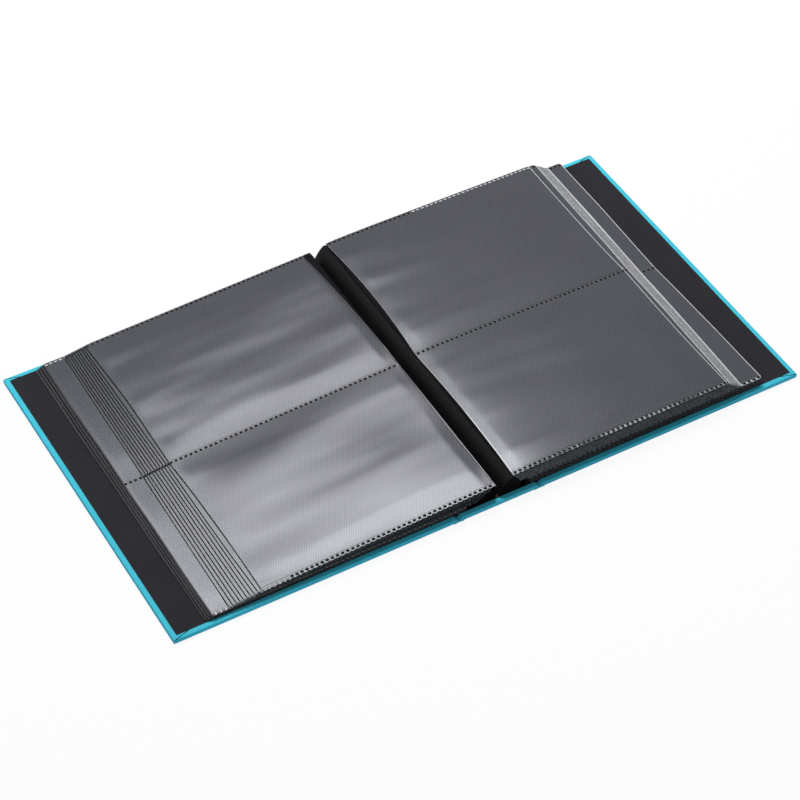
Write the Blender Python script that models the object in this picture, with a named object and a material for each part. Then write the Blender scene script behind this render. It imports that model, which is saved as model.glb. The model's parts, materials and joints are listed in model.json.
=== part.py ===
"""Pocket photo album lying open: a case of three wrapped boards, a concertina binding strip
and welded pocket leaves in two stacks. Metres, +Z up, origin under the middle of the spine."""
import math
from dataclasses import dataclass

import bmesh
import bpy

MM = 0.001

# Case: X runs across the open album, Y from tail to head
COVER_HEIGHT = 230 * MM
COVER_REACH = 206.5 * MM          # middle of the spine to the fore-edge of an open cover
SPINE_BOARD_WIDTH = 46.6 * MM
BOARD_THICKNESS = 2.55 * MM
WRAP_THICKNESS = 0.4 * MM
TURN_IN = 15 * MM                 # wrap folded over onto the inner face of a board
PAPER_THICKNESS = 0.2 * MM
PAPER_MARGIN = 3.2 * MM           # wrap left showing round an endpaper
LAYER_GAP = 0.05 * MM             # glue line between the layers of the case
FOLD_CLEARANCE = 0.35 * MM        # room for a cover that stands upright beside the spine
WRAP_END_GAP = 0.3 * MM           # from the hinge line to the end of a wrap piece

# Leaves
SQUARE = 3 * MM                   # how far the case overhangs the leaves at head and tail
LEAF_THICKNESS = 0.16 * MM
LEAF_CORNER = 2.5 * MM
LEAF_LIFT = 0.4 * MM              # lowest hinge above the binding strip's base
BINDING_BASE = 0.15 * MM
BINDING_INSET = 0.7 * MM          # outermost fold to the edge of the spine board
FOLD_THICKNESS = 0.14 * MM
FOLD_GAP = 0.06 * MM              # top of a fold to the leaf that hangs on it
TURNED_FOLD_GAP = 1.3 * MM        # the same for the leaf that is carried by the one below it

# Pockets of the two leaves that face each other
FILM_THICKNESS = 0.08 * MM
POCKET_GAP = 0.1 * MM
SEAM_WIDTH = 3 * MM               # weld between two pockets, and along head and tail
POCKET_MOUTH_INSET = 1.5 * MM     # mouth of a pocket, from the hinge of its leaf
POCKET_FOLD_INSET = 0.4 * MM      # closed side of a pocket, from the leaf's fore-edge

# Heights of the layers, from the underside of the wrap
BOARD_BOTTOM = WRAP_THICKNESS + LAYER_GAP
BOARD_TOP = BOARD_BOTTOM + BOARD_THICKNESS
REBATE_FLOOR = BOARD_TOP - WRAP_THICKNESS - LAYER_GAP
PAPER_BOTTOM = BOARD_TOP + LAYER_GAP
PAPER_TOP = PAPER_BOTTOM + PAPER_THICKNESS
BINDING_BOTTOM = PAPER_TOP + LAYER_GAP
BINDING_TOP = BINDING_BOTTOM + BINDING_BASE
HINGE_Z = WRAP_THICKNESS / 2

# Places across the spine and the covers
GROOVE_HALF = PAPER_TOP - HINGE_Z + FOLD_CLEARANCE
SPINE_EDGE = SPINE_BOARD_WIDTH / 2
HINGE_X = SPINE_EDGE + GROOVE_HALF
COVER_BOARD_START = HINGE_X + GROOVE_HALF
HALF_HEIGHT = COVER_HEIGHT / 2
LEAF_HEIGHT = COVER_HEIGHT - 2 * SQUARE
CUT_MARGIN = 5 * MM               # how far a cutter runs past what it cuts


@dataclass
class Section:
    """A run of leaves, lowest first. Airs are added to the leaf's own thickness."""
    leaves: int
    hinge_x: float                # lowest hinge, from the middle of the spine
    hinge_side_air: float         # each next hinge lies this much nearer the gutter
    hinge_lift: float             # lowest hinge above the highest one of the section below
    hinge_air: float
    root_lean: float              # how far a fold leans out from its foot, for each height
    edge_inset: float             # lowest leaf's fore-edge, in from the cover's fore-edge
    edge_step: float
    edge_lift: float              # lowest fore-edge above the highest leaf of the section below
    edge_air: float


def gutter_section_start(gutter, leaves, side_air):
    """Lowest hinge of a section whose top leaf hinges at the given distance from the middle."""
    return gutter + (leaves - 1) * (LEAF_THICKNESS + side_air)


OUTERMOST_HINGE = SPINE_EDGE - BINDING_INSET
LEFT_FAN_AIR = 1.12 * MM
RIGHT_FAN_AIR = 0.17 * MM
LEFT_SECTIONS = [
    Section(leaves=10, hinge_x=OUTERMOST_HINGE, hinge_side_air=0.09 * MM, hinge_lift=LEAF_LIFT,
            hinge_air=0.075 * MM, root_lean=0, edge_inset=22 * MM, edge_step=0.2 * MM,
            edge_lift=LEAF_LIFT, edge_air=0.075 * MM),
    Section(leaves=10, hinge_x=gutter_section_start(1 * MM, 10, LEFT_FAN_AIR),
            hinge_side_air=LEFT_FAN_AIR, hinge_lift=0.65 * MM, hinge_air=0.65 * MM, root_lean=0,
            edge_inset=34.8 * MM, edge_step=2 * MM, edge_lift=0.28 * MM, edge_air=0.04 * MM),
]
RIGHT_SECTIONS = [
    Section(leaves=10, hinge_x=OUTERMOST_HINGE, hinge_side_air=0.15 * MM, hinge_lift=LEAF_LIFT,
            hinge_air=0.39 * MM, root_lean=0, edge_inset=24 * MM, edge_step=0.15 * MM,
            edge_lift=LEAF_LIFT, edge_air=0.39 * MM),
    Section(leaves=16, hinge_x=gutter_section_start(10.5 * MM, 16, RIGHT_FAN_AIR),
            hinge_side_air=RIGHT_FAN_AIR, hinge_lift=0.5 * MM, hinge_air=0.31 * MM, root_lean=0.71,
            edge_inset=38 * MM, edge_step=0.63 * MM, edge_lift=0.5 * MM, edge_air=0.31 * MM),
]

PARTS = "pocket_photo_album"
CUTTERS = "pocket_photo_album_cutters"


def clear_scene():
    for existing in list(bpy.data.objects):
        bpy.data.objects.remove(existing, do_unlink=True)


def new_collection(name):
    collection = bpy.data.collections.new(name)
    bpy.context.scene.collection.children.link(collection)
    return collection


def finish(name, colour, roughness):
    """A plain coloured finish."""
    material = bpy.data.materials.new(name)
    material.use_nodes = True
    shader = material.node_tree.nodes["Principled BSDF"]
    shader.inputs["Base Color"].default_value = (*colour, 1)
    shader.inputs["Roughness"].default_value = roughness
    shader.inputs["Metallic"].default_value = 0
    return material


def hinge_empty(name, place, collection):
    empty = bpy.data.objects.new(name, None)
    empty.location = place
    collection.objects.link(empty)
    return empty


def mesh_object(name, shape, collection, material=None, carrier=None):
    mesh = bpy.data.meshes.new(name)
    bmesh.ops.recalc_face_normals(shape, faces=shape.faces)
    shape.to_mesh(mesh)
    shape.free()
    piece = bpy.data.objects.new(name, mesh)
    piece.parent = carrier
    if material:
        mesh.materials.append(material)
    collection.objects.link(piece)
    return piece


def box_shape(low, high):
    """A box between two corners."""
    shape = bmesh.new()
    bmesh.ops.create_cube(shape, size=1)
    size = [top - bottom for bottom, top in zip(low, high)]
    middle = [(top + bottom) / 2 for bottom, top in zip(low, high)]
    bmesh.ops.scale(shape, vec=size, verts=shape.verts)
    bmesh.ops.translate(shape, vec=middle, verts=shape.verts)
    return shape


def cut_away(piece, label, low, high):
    """Cut a box out of a piece; the box shares the piece's carrier."""
    cutter = mesh_object(f"{piece.name}_{label}_cutter", box_shape(low, high), cutters,
                         carrier=piece.parent)
    cutter.hide_render = True
    cutter.display_type = "WIRE"
    cut = piece.modifiers.new(label, "BOOLEAN")
    cut.operation = "DIFFERENCE"
    cut.object = cutter


def across(side, near, far):
    """Lowest and highest X of a stretch between two distances from the carrier's axis."""
    return sorted((side * near, side * far))


def make_board(name, near, far, side, rebate_start, carrier, depth):
    """A board with shallow rebates where the wrap is turned in over its edges."""
    low_x, high_x = across(side, near, far)
    end = HALF_HEIGHT - BOARD_BOTTOM
    bottom = BOARD_BOTTOM - depth
    top = BOARD_TOP - depth
    board_shape = box_shape((low_x, -end, bottom), (high_x, end, top))
    board = mesh_object(name, board_shape, parts, board_grey, carrier)
    floor = REBATE_FLOOR - depth
    roof = top + CUT_MARGIN
    rim = HALF_HEIGHT - TURN_IN - LAYER_GAP
    past = HALF_HEIGHT + CUT_MARGIN
    wide_low, wide_high = low_x - CUT_MARGIN, high_x + CUT_MARGIN
    cut_away(board, "head_rebate", (wide_low, rim, floor), (wide_high, past, roof))
    cut_away(board, "tail_rebate", (wide_low, -past, floor), (wide_high, -rim, roof))
    if rebate_start:
        rebate_low, rebate_high = across(side, rebate_start, far + CUT_MARGIN)
        cut_away(board, "edge_rebate", (rebate_low, -past, floor), (rebate_high, past, roof))
    return board


def make_cover(label, side):
    """One cover: board, wrap and endpaper, all carried by the hinge in the groove."""
    carrier = hinge_empty(f"{label}_cover_hinge", (side * HINGE_X, 0, HINGE_Z), parts)
    reach = COVER_REACH - HINGE_X
    board_start = COVER_BOARD_START - HINGE_X
    board_end = reach - BOARD_BOTTOM
    rebate_start = reach - TURN_IN - LAYER_GAP
    make_board(f"{label}_board", board_start, board_end, side, rebate_start, carrier, HINGE_Z)

    low_x, high_x = across(side, WRAP_END_GAP, reach)
    sheet_top = WRAP_THICKNESS - HINGE_Z
    flap_top = BOARD_TOP - HINGE_Z
    flap_bottom = flap_top - WRAP_THICKNESS
    wrap_shape = box_shape((low_x, -HALF_HEIGHT, -HINGE_Z), (high_x, HALF_HEIGHT, flap_top))
    wrap = mesh_object(f"{label}_wrap", wrap_shape, parts, turquoise, carrier)
    inside = HALF_HEIGHT - WRAP_THICKNESS
    past = HALF_HEIGHT + CUT_MARGIN
    roof = flap_top + CUT_MARGIN
    pocket = across(side, -CUT_MARGIN, reach - WRAP_THICKNESS)
    cut_away(wrap, "board_space", (pocket[0], -inside, sheet_top), (pocket[1], inside, flap_bottom))
    window = across(side, -CUT_MARGIN, reach - TURN_IN)
    rim = HALF_HEIGHT - TURN_IN
    cut_away(wrap, "window", (window[0], -rim, flap_bottom - CUT_MARGIN / 2), (window[1], rim, roof))
    groove = across(side, -CUT_MARGIN, board_start)
    cut_away(wrap, "groove", (groove[0], -past, sheet_top), (groove[1], past, roof))

    paper_x = across(side, board_start, reach - PAPER_MARGIN)
    paper_y = HALF_HEIGHT - PAPER_MARGIN
    paper_low = (paper_x[0], -paper_y, PAPER_BOTTOM - HINGE_Z)
    paper_high = (paper_x[1], paper_y, PAPER_TOP - HINGE_Z)
    mesh_object(f"{label}_endpaper", box_shape(paper_low, paper_high), parts, black_paper, carrier)


def make_spine():
    """The spine board in its wrap, with the black lining over it."""
    make_board("spine_board", -SPINE_EDGE, SPINE_EDGE, 1, None, None, 0)

    wrap_edge = HINGE_X - WRAP_END_GAP
    wrap_shape = box_shape((-wrap_edge, -HALF_HEIGHT, 0), (wrap_edge, HALF_HEIGHT, BOARD_TOP))
    wrap = mesh_object("spine_wrap", wrap_shape, parts, turquoise)
    past_x = wrap_edge + CUT_MARGIN
    past_y = HALF_HEIGHT + CUT_MARGIN
    roof = BOARD_TOP + CUT_MARGIN
    inside = HALF_HEIGHT - WRAP_THICKNESS
    flap_bottom = BOARD_TOP - WRAP_THICKNESS
    cut_away(wrap, "board_space", (-past_x, -inside, WRAP_THICKNESS), (past_x, inside, flap_bottom))
    rim = HALF_HEIGHT - TURN_IN
    cut_away(wrap, "window", (-past_x, -rim, flap_bottom - CUT_MARGIN / 2), (past_x, rim, roof))
    for label, side in (("left_groove", -1), ("right_groove", 1)):
        groove = across(side, SPINE_EDGE, past_x)
        cut_away(wrap, label, (groove[0], -past_y, WRAP_THICKNESS), (groove[1], past_y, roof))

    paper_y = HALF_HEIGHT - PAPER_MARGIN
    lining_shape = box_shape((-SPINE_EDGE, -paper_y, PAPER_BOTTOM), (SPINE_EDGE, paper_y, PAPER_TOP))
    mesh_object("spine_lining", lining_shape, parts, black_paper)


@dataclass
class LeafPlace:
    """Where a leaf is hinged and where its fore-edge lies, both as (distance from middle, height)."""
    hinge: tuple
    edge: tuple
    foot_x: float


def height_at(place, x):
    """Height of a leaf at a distance from the middle of the spine."""
    slope = (place.edge[1] - place.hinge[1]) / (place.edge[0] - place.hinge[0])
    return place.edge[1] + (x - place.edge[0]) * slope


def place_leaves(sections):
    """Places of one stack's leaves, top leaf first. Each fore-edge rests on the leaf below it."""
    places = []
    hinge_z = BINDING_TOP
    for section in sections:
        for count in range(section.leaves):
            first = count == 0
            hinge_z += section.hinge_lift if first else LEAF_THICKNESS + section.hinge_air
            hinge_x = section.hinge_x - count * (LEAF_THICKNESS + section.hinge_side_air)
            edge_x = COVER_REACH - section.edge_inset - count * section.edge_step
            below = height_at(places[-1], edge_x) if places else BINDING_TOP
            edge_z = below + (section.edge_lift if first else LEAF_THICKNESS + section.edge_air)
            foot_x = hinge_x - section.root_lean * (count + 1) / section.leaves * (hinge_z - BINDING_TOP)
            places.append(LeafPlace((hinge_x, hinge_z), (edge_x, edge_z), foot_x))
    return places[::-1]


def leaf_tilt(place, side):
    """Turn about Y that lays a flat leaf from its hinge to its fore-edge."""
    drop = place.hinge[1] - place.edge[1]
    run = place.edge[0] - place.hinge[0]
    return side * math.atan2(drop, run)


def leaf_length(place):
    return math.dist(place.hinge, place.edge)


def make_leaf(name, place, side):
    """A welded leaf with rounded fore-edge corners, its origin on its own hinge line."""
    length = leaf_length(place)
    low_x, high_x = across(side, 0, length)
    half = LEAF_THICKNESS / 2
    shape = box_shape((low_x, -LEAF_HEIGHT / 2, -half), (high_x, LEAF_HEIGHT / 2, half))
    corners = [edge for edge in shape.edges
               if all(abs(vertex.co.x - side * length) < LEAF_THICKNESS for vertex in edge.verts)
               and abs(edge.verts[0].co.y - edge.verts[1].co.y) < LEAF_THICKNESS]
    bmesh.ops.bevel(shape, geom=corners, offset=LEAF_CORNER, segments=3, profile=0.5, affect="EDGES")
    leaf = mesh_object(name, shape, parts, black_film)
    leaf.location = (side * place.hinge[0], 0, place.hinge[1])
    leaf.rotation_euler.y = leaf_tilt(place, side)
    return leaf


def make_pocket_films(label, leaf, place, side):
    """The clear film of the two pockets on a leaf, hinged along the leaf's fore-edge."""
    closed_x = leaf_length(place) - POCKET_FOLD_INSET
    depth = closed_x - POCKET_MOUTH_INSET
    low_x, high_x = across(side, -depth, 0)
    near_y = SEAM_WIDTH / 2
    far_y = LEAF_HEIGHT / 2 - SEAM_WIDTH
    height = LEAF_THICKNESS / 2 + POCKET_GAP + FILM_THICKNESS / 2
    half = FILM_THICKNESS / 2
    for end, (low_y, high_y) in (("head", (near_y, far_y)), ("tail", (-far_y, -near_y))):
        film_shape = box_shape((low_x, low_y, -half), (high_x, high_y, half))
        film = mesh_object(f"{label}_{end}_pocket_film", film_shape, parts, clear_film, leaf)
        film.location = (side * closed_x, 0, height)


def fold_outline(place, side, gap):
    """Four corners of one fold of the binding strip, from its foot up and down again."""
    foot = side * place.foot_x
    run = side * place.hinge[0] - foot
    rise = place.hinge[1] - BINDING_TOP
    share = 1 - gap / rise
    top = (foot + run * share, BINDING_TOP + rise * share)
    half = FOLD_THICKNESS / 2
    near_side = [(foot - half, BINDING_TOP), (top[0] - half, top[1])]
    far_side = [(top[0] + half, top[1]), (foot + half, BINDING_TOP)]
    return near_side + far_side


def make_binding_strip(left_places, right_places):
    """The concertina: a strip on the spine lining with one upright fold for each leaf."""
    edge = SPINE_EDGE
    outline = [(-edge, BINDING_BOTTOM), (-edge, BINDING_TOP)]
    gap = LEAF_THICKNESS / 2 + FOLD_GAP
    for place in left_places[::-1]:
        outline += fold_outline(place, -1, gap)
    for index, place in enumerate(right_places):
        outline += fold_outline(place, 1, TURNED_FOLD_GAP if index == 0 else gap)
    outline += [(edge, BINDING_TOP), (edge, BINDING_BOTTOM)]
    shape = bmesh.new()
    tail = -LEAF_HEIGHT / 2
    face = shape.faces.new([shape.verts.new((x, tail, z)) for x, z in outline])
    grown = bmesh.ops.extrude_face_region(shape, geom=[face])
    moved = [item for item in grown["geom"] if isinstance(item, bmesh.types.BMVert)]
    bmesh.ops.translate(shape, vec=(0, LEAF_HEIGHT, 0), verts=moved)
    mesh_object("binding_strip", shape, parts, black_film)


def make_stack(label, places, side):
    for number, place in enumerate(places, start=1):
        leaf = make_leaf(f"{label}_leaf_{number:02d}", place, side)
        if number == 1:
            make_pocket_films(label, leaf, place, side)


clear_scene()
parts = new_collection(PARTS)
cutters = new_collection(CUTTERS)
turquoise = finish("turquoise_wrap", (0.03, 0.40, 0.53), 0.5)
board_grey = finish("grey_board", (0.35, 0.33, 0.30), 0.9)
black_paper = finish("black_paper", (0.02, 0.02, 0.022), 0.8)
black_film = finish("black_film", (0.03, 0.03, 0.035), 0.4)
clear_film = finish("clear_film", (0.45, 0.46, 0.48), 0.25)

make_cover("front", -1)
make_spine()
make_cover("back", 1)
left_places = place_leaves(LEFT_SECTIONS)
right_places = place_leaves(RIGHT_SECTIONS)
make_binding_strip(left_places, right_places)
make_stack("left", left_places, -1)
make_stack("right", right_places, 1)
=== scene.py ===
# Pocket photo album lying open: turquoise wrapped case, black binding folds and welded pocket leaves
import json
import math

import bmesh
import bpy
from mathutils import Matrix, Vector, noise


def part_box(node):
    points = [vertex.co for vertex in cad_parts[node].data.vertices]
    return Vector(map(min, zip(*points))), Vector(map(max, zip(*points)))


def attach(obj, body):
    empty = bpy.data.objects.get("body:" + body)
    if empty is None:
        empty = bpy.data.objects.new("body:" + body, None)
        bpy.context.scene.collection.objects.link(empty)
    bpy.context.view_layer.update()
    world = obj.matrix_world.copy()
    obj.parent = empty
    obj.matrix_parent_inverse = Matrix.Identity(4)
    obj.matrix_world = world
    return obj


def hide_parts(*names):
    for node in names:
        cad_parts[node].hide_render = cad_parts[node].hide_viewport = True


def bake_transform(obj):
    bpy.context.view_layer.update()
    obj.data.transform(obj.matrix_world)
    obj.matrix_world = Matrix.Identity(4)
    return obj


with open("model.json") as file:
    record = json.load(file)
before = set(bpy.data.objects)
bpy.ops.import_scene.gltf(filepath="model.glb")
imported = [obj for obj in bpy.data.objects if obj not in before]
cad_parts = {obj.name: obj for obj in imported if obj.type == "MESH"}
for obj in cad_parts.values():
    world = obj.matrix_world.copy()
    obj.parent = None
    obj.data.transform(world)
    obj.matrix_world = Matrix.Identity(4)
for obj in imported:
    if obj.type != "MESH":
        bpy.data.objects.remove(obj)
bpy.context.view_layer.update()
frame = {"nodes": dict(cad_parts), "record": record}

# Lengths are in millimetres until a piece is finished
MM = 0.001
NEAR = 0.01                 # two places this close count as one
MERGE_DISTANCE = 0.001      # points this close become one
CUT_DISTANCE = 0.0001       # points this close to a cut lie on it

# Case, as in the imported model
HALF_HEIGHT = 115.0
COVER_REACH = 206.5
COVER_START = 30.1          # board of a cover, from the middle of the spine
SPINE_EDGE = 23.3
HINGE_LINE = 26.7
BOARD_TOP = 3.0
WRAP = 0.4                  # thickness of the wrap paper
TURN_IN = 15.0
PAPER = 0.2                 # thickness of the black papers
PAPER_MARGIN = 3.2
PAPER_TOP = 3.25

# Folded edges and corners of the wrap
EDGE_ROUNDING = 0.75
ROUNDING_STEPS = 4
MITRE_SLOPE = math.radians(17)   # fold line of a corner, from the head or tail edge
CREASE_HALF = 0.28
CREASE_MATCH = 0.6          # a face on the fold line has its middle within this share of the half width
CREASE_REACH = 30           # the fold line may run this far in past the flap of the fore-edge
CREASE_INSET = 0.08
CREASE_DEPTH = 0.25
FLAT_FACE = 0.9             # least upright part of the normal of a flat face
UPPER_FACE = 0.5            # and of a face on the upper side, with its rounded edge
CASE_SHARP = 50             # least angle of a sharp edge, in degrees
LEAF_SHARP = 38

# Strips that bend in the hinge grooves
GROOVE_HALF = 2.4           # half width of the dip in a strip
GROOVE_RISE = 0.25          # the wrap's outer side rises this far in the dip
FLAP_IN_GROOVE = 1.1        # height of the turned-in wrap in the dip
FLAP_STEP = 0.4             # the turned-in wrap ends over this length
FLAP_ROWS_START = 1.0
END_ROUNDING = 0.8
END_DROP = 0.5              # share of its height above one wrap that a strip loses at head and tail
END_ROWS = (0.35, 0.1, 0)   # last rows of the net, in from head and tail
HINGE_COLUMN = 0.5          # spacing of the net
HINGE_ROW = 20
FLAP_ROW = 4
LINING_ROW = 16
LINING_DIP = 1.5

# Leaves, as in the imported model
LEAF_COUNTS = (("left", 20), ("right", 26))
LEAF_THICKNESS = 0.16
PAGE_HALF = 112.0
LEAF_CORNER = 2.5
SEAM_HALF = 1.5             # half of the weld between two pockets
END_SEAM = 3.0              # weld along head and tail
BINDING_FLOOR = 3.45
LEANING_FOLDS = 16          # right leaves whose binding margin leans over
LOWER_LEFT = 11             # top leaf of the lower left group
LOWER_RIGHT = LEANING_FOLDS + 1
GROUP_TOPS = {-1: (1, LOWER_LEFT), 1: (1, LOWER_RIGHT)}

# Looks that differ from leaf to leaf
PAGES_SHOWN = {-1: (1, LOWER_LEFT), 1: (1, 2, LOWER_RIGHT)}   # right leaf 2 shows when leaf 1 is turned
BRIGHT_EDGES = (1, 2, 15, 16, 17)   # right leaves whose fore-edge shows as a clear line, with a painted highlight
BRIGHT_LINE = 0.45          # width of the folded film along a fore-edge
RIBBED_LINE = 0.28
UPPER_LEFT_LINE = 0.6
LOWER_LEFT_LINE = 1.0
TICK_SHIFTS = (0, 2, 1, 3, 1, 0, 3, 2, 0, 3, 1)   # where the ticks of a leaf start, in quarters of a pitch
TICK_HALF = 0.14            # half width of a tick, in pitches
WORN_LENGTH = 7             # ticks of the first leaves are missing where this noise is low
WORN_BELOW = -0.12

# Sheets of the leaves
SHEET = LEAF_THICKNESS * 0.75       # thickness, a little less than that of the model's leaf
SHEET_TOP = LEAF_THICKNESS * 0.25   # upper side, from the middle of the leaf
FACING_ROW = 2.2            # spacing of the net on the pages that face up
SHOWN_ROW = 4.0
HIDDEN_ROW = 30
COLUMNS_PER_TOOTH = 4
SEAM_SHOULDER = 0.6         # row of the net beside a seam
INNER_STRIP = 0.15          # least width of the bare strip beside the hinge
STRIP_SHOWN = 0.1           # a strip at least this much wider is dark
EDGE_POWER = 6              # how fast the shift of an edge fades away from it

# Bare strips that a page leaves beside its hinge
LEFT_STRIP = 4.8
RIGHT_HEAD_STRIP = 2.3
RIGHT_TAIL_STRIP = 1.0

# Welds and toothed edges
TOOTH_PITCH = 3.3
TOOTH_DEPTH = 0.5
HEAD_TEETH = 0.3            # depth of the teeth at the head, of those at the tail
TOOTH_STEEPNESS = 1.1
TOOTH_SHIFT = 0.9           # from one leaf to the next
TOOTH_ROW = 2.1             # width of the toothed film margin
DASH_LENGTH = 2.35
DASH_WIDTH = 2.0
SLOT_WIDTH = 1.1            # a weld that is pierced is narrower
DASH_INSET = 1.6            # dashes along head and tail, in from the edge of the leaf
DASH_START = 1.4            # first dash, in from the fore-edge
DASH_END = 2.6              # the row on a whole page stops short of the hinge
EDGE_DASHES = 14            # length of the row on a leaf that shows only its fore-edge
DASH_ROOT = 0.06            # depth of a dash in the sheet
DASH_HEIGHT = 0.19
DASH_RIM = 0.12
DASH_PRESS = 0.04
DASH_CORNERS = 10
LIGHT_FROM = 0.65           # left dashes have rims painted lighter, as a painted highlight, from this share of the leaf's length
MIDDLE_HIGHLIGHT_FROM = 0.86           # and the tail ones middles painted lighter, as a painted highlight, from this
PIERCED_FROM = 0.4          # right head welds are pierced from this
PAGE_PRESS = (1.3, 1.35)    # rows of dots pressed into the pages: rows apart, dots apart
FOLD_PRESS = (0.62, 1.9)    # and into the binding folds

# How far the fore-edges of a group run past the flat model at tail and head:
# lowest and highest leaf number, then (tail, head) for the first leaf and for the last one
EDGE_DRIFT = {
    -1: [(1, 10, (-3.2, 0.6), (-1.0, -3.5)),
         (11, 20, (-1.1, -1.1), (0.9, 2.3))],
    1: [(1, 1, (-1.2, -1.4), (0.0, 0.0)),
        (2, 16, (-0.6, 2.5), (0.0, 3.2)),
        (17, 26, (1.7, 0.3), (0.2, 0.0))],
}
EDGE_WOBBLE = 0.35
WOBBLE_LENGTH = 40
WOBBLE_SEED = 3.7           # from one leaf to the next
FIRST_BELLY = -0.9          # bow of a fore-edge between the seams, on the first leaf of a side
BELLY = 0.25                # and on the others
PINCH = 2.0                 # how far the middle seam draws in the lower right group

# Waves of the two pages that face up
PAGE_LIFT = 0.30            # height above flat
POCKET_CROWN = 0.30         # added in the middle of a pocket
ROLLING = 0.42              # height of the broad waves
LOOSE_ROLLING = 0.8         # the same in the left tail pocket
ROLLING_AT_SEAMS = 0.35     # share that is left on the seams
ROLLING_LENGTH = (75, 34)   # along the leaf and down the page
RIPPLE = 0.20               # height of the narrow waves
RIPPLE_LENGTH = (55, 13)
RIPPLE_SLANT = 60
RIPPLE_RANGE = (0.8, 1.3)   # strength away from the seams and on them
SEAM_REACH = 13
CALM_ENDS = 8               # waves die away this near to the hinge and the fore-edge
CALM_SEAMS = 0.25           # share of a page's height that is left on the seams
SEAM_STEEPNESS = 2.2
WAVE_SEED = 7.3
ROLL_HEIGHT = 0.85          # height of the right page before it rolls down to the gutter
ROLL_LENGTH = 17
ROLL_FADE = 0.8
CURL_START = 4.2            # curl of the lower left group, in from the fore-edge
CURL_LENGTH = 3.2
CURL_DROP = 0.22

# Pocket films
FILM_THICKNESS = 0.06
FILM_END = 0.7              # closed side of a facing pocket, in from the fore-edge
STACK_FILM_END = 0.4        # and of a pocket on another leaf
PAGE_BOW = 0.45             # how far a facing pocket bows out
STACK_BOW = 0.22
HEAD_BOW_RISE = 24          # a bow rises over this length from the middle seam
TAIL_BOW_RISE = 38
BOW_FALL = 15               # and falls over this length to the weld at head or tail
PAGE_BOW_FADE = 25          # it fades over this length to the closed side
STACK_BOW_FADE = 5
LOOSENESS = (0.7, 0.6)      # share of the bow, and how much that varies along the leaf
LOOSE_LENGTH = 42
MOUTH_PLACE = {-1: (0.3, 0.9), 1: (-0.15, 0.3)}   # mouth at the seams, and how much it is hollowed between
MOUTH_SHARE = 0.003         # folded edge at the mouth of a pocket, of the pocket's depth
MOUTH_EDGE = 0.25           # folded edge of a right pocket at the head
MOUTH_WIDENING = 0.7        # and what the tail adds
FILM_SEAT = 0.03            # air under the closed side of a film
FILM_LIFT = 0.06            # and what is added away from it
FILM_LIFT_LENGTH = 2
FILM_COLUMNS = 90
FILM_COLUMNS_START = 0.02   # share of the depth
WELD_ROW = 0.5              # first row of the net beside the weld
FILM_ROW = 2.0
MIDDLE_ROW = 0.25           # last row before the middle of the pocket

# Binding folds
FOLD_LEAN = 0.71
FOLD_GAP = (0.3, 0.16)      # a fold stops short of its leaf and a little below it, clear of its turn
TURNING_GAP = (0.95, 0.85)  # the same for the leaf that turns over and for the one that carries it
TURNING_LEAVES = 2
FOLD_OVER = 2.2             # most that a fold bends over at its top
FOLD_OVER_SHARE = 0.3       # and most of its rise
FOLD_LOWER = (0.25, 0.55)   # second point of the curve, as shares of lean and rise
FOLD_UPPER = (0.8, 0.35)    # third point, back along the leaf and down, as shares of the bend
FOLD_STEPS = 12
FOLD_FILM = 0.12            # thickness
FOLD_BASE = 0.14
BASE_COLUMN = 4
BASE_ROW = 30

# Stage, in metres
FLOOR_SIZE = 6
FLOOR_DROP = 0.0002
FLOOR_WHITE = 0.92          # share of plain white in the floor that the camera sees
FLOOR_TINT = (0.9, 0.9, 0.9)
BOUNCE_TINT = (0.42, 0.56, 0.72)
WORLD_TINT = (0.78, 0.91, 1.0)
WORLD_LIGHT = 0.22

# Lamps, in metres: name, place, aim, width and length, watts
SOFTBOXES = (
    ("overhead_softbox", (0.105, 0.62, 1.2), (0.105, 0.62, 0), (0.85, 0.80), 13.5),
    ("inner_softbox", (0.105, 0.535, 1.19), (0.105, 0.535, 0), (0.85, 0.37), 5.4),
    ("side_softbox", (0.65, 0.85, 1.19), (0.65, 0.85, 0), (0.26, 0.46), 0.17),
    ("front_softbox", (0, -1.05, 0.25), (0, 0, 0), (1.2, 0.35), 2.0),
)

# The photograph's viewpoint, from a fit to the corners of the cover
CAMERA_AIM = (-8.22, -14.21, 0)
CAMERA_DISTANCE = 1598.9
CAMERA_ANGLES = (-29.408, 45.808, -0.192)   # turn, rise and roll in degrees
FOCAL_PIXELS = 2703.56
PHOTO_PIXELS = 800
SENSOR_WIDTH = 36
CLIP_METRES = (0.05, 50)

JOINTS = {joint["child"]: joint for joint in frame["record"]["behaviour"]["joints"]}


# Materials

def add_node(tree, kind, values=None, **settings):
    """A node with its settings and its unlinked sockets."""
    node = tree.nodes.new(kind)
    for key, value in settings.items():
        setattr(node, key, value)
    for key, value in (values or {}).items():
        node.inputs[key].default_value = value
    return node


def new_finish(name, **sockets):
    """A material with its shader's constant sockets set, and the object coordinates."""
    material = bpy.data.materials.new(name)
    material.use_nodes = True
    tree = material.node_tree
    shader = tree.nodes["Principled BSDF"]
    for key, value in sockets.items():
        shader.inputs[key.replace("_", " ")].default_value = value
    point = add_node(tree, "ShaderNodeTexCoord").outputs["Object"]
    return material, tree, shader, point


def calculate(tree, operation, first, second=None, third=None):
    """One step of arithmetic; each value is a socket or a number."""
    node = add_node(tree, "ShaderNodeMath", operation=operation)
    for socket, value in zip(node.inputs, (first, second, third)):
        if value is None:
            continue
        if isinstance(value, (int, float)):
            socket.default_value = value
        else:
            tree.links.new(value, socket)
    return node.outputs[0]


def weigh(tree, first, first_share, second, second_share):
    """The sum of two factors, each with its share."""
    return calculate(tree, "MULTIPLY_ADD", first, first_share,
                     calculate(tree, "MULTIPLY", second, second_share))


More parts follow.
